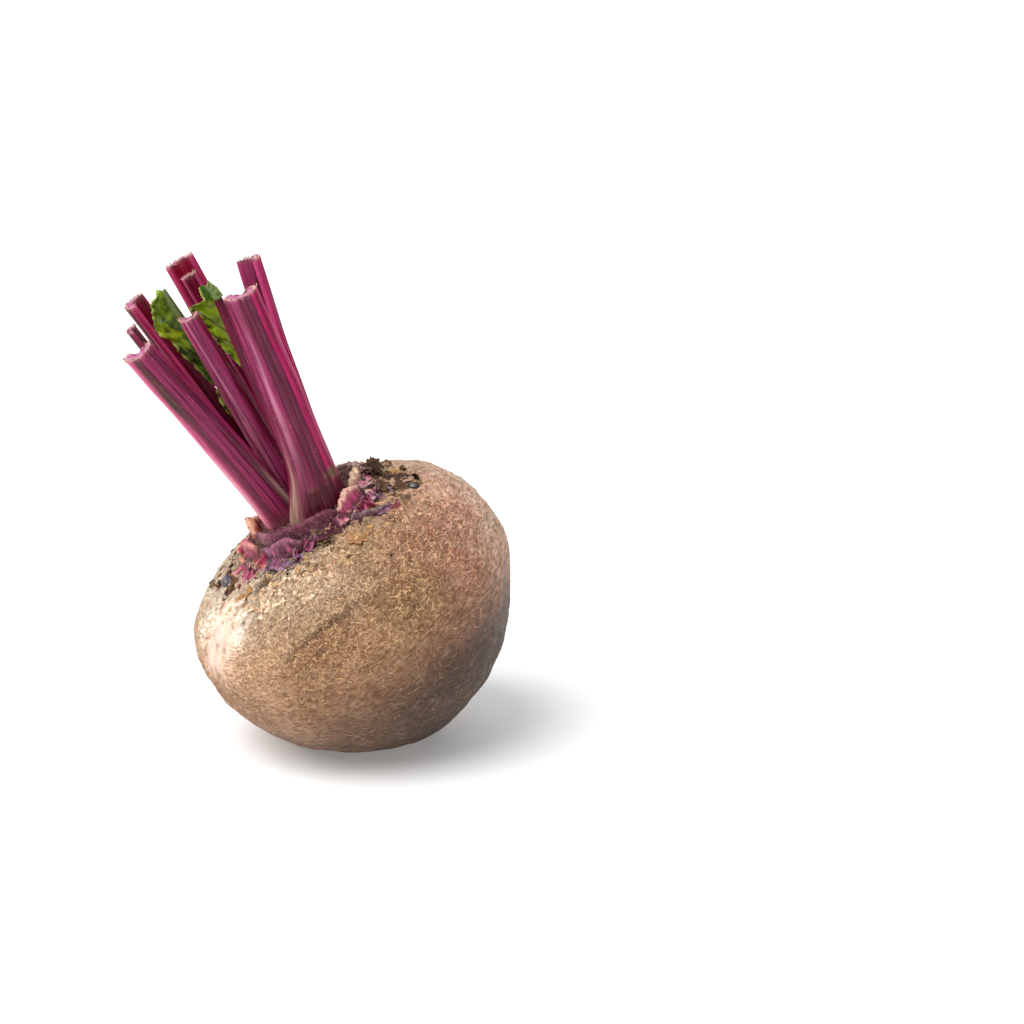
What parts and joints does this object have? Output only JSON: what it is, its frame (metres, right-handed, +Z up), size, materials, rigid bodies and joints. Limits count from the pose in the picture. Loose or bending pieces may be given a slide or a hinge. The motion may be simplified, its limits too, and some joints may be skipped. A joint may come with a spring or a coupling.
{
  "type": "beetroot",
  "caption": "Whole raw beetroot with trimmed purple leaf stalks and cut young leaves, lying tilted on a small flat spot of its round root.",
  "frame": {"origin": "middle of the small flat spot that the root rests on, at ground level", "axes": "+Z is up. The root's crown and its stalks lean about 31 degrees from upright towards -X and a little towards -Y, which is the side that faces the viewer; +X is the viewer's right."},
  "size_m": [0.1061, 0.095, 0.1437],
  "materials": {
    "root_skin": "dry, rough, tan skin with fine brown fibres",
    "stalk_skin": "ribbed, waxy, purple-red skin with a soft gloss",
    "leaf_green": "crinkled green leaf with a soft gloss",
    "leaf_base_skin": "torn, fuzzy, purple and pink leaf bases",
    "dry_husk": "dried, matt, dark brown scraps"
  },
  "bodies": {
    "root": {"dead_bud_left": "dry_husk", "dead_bud_right": "dry_husk", "dry_scrap_back": "dry_husk", "dry_scrap_right": "dry_husk", "dry_scrap_upper": "dry_husk", "leaf_base_back": "leaf_base_skin", "leaf_base_back_right": "leaf_base_skin", "leaf_base_band": "leaf_base_skin", "leaf_base_far_left": "leaf_base_skin", "leaf_base_far_right": "leaf_base_skin", "leaf_base_left": "leaf_base_skin", "leaf_base_low_back": "leaf_base_skin", "leaf_base_low_front": "leaf_base_skin", "leaf_base_low_left": "leaf_base_skin", "leaf_base_low_right": "leaf_base_skin", "leaf_base_right": "leaf_base_skin", "leaf_left": "leaf_green", "leaf_right": "leaf_green", "root": "root_skin", "stalk_back_left": "stalk_skin", "stalk_back_middle": "stalk_skin", "stalk_back_right": "stalk_skin", "stalk_front_left": "stalk_skin", "stalk_front_middle": "stalk_skin", "stalk_front_right": "stalk_skin", "stalk_slim_back": "stalk_skin", "stalk_slim_left": "stalk_skin"}
  },
  "joints": []
}
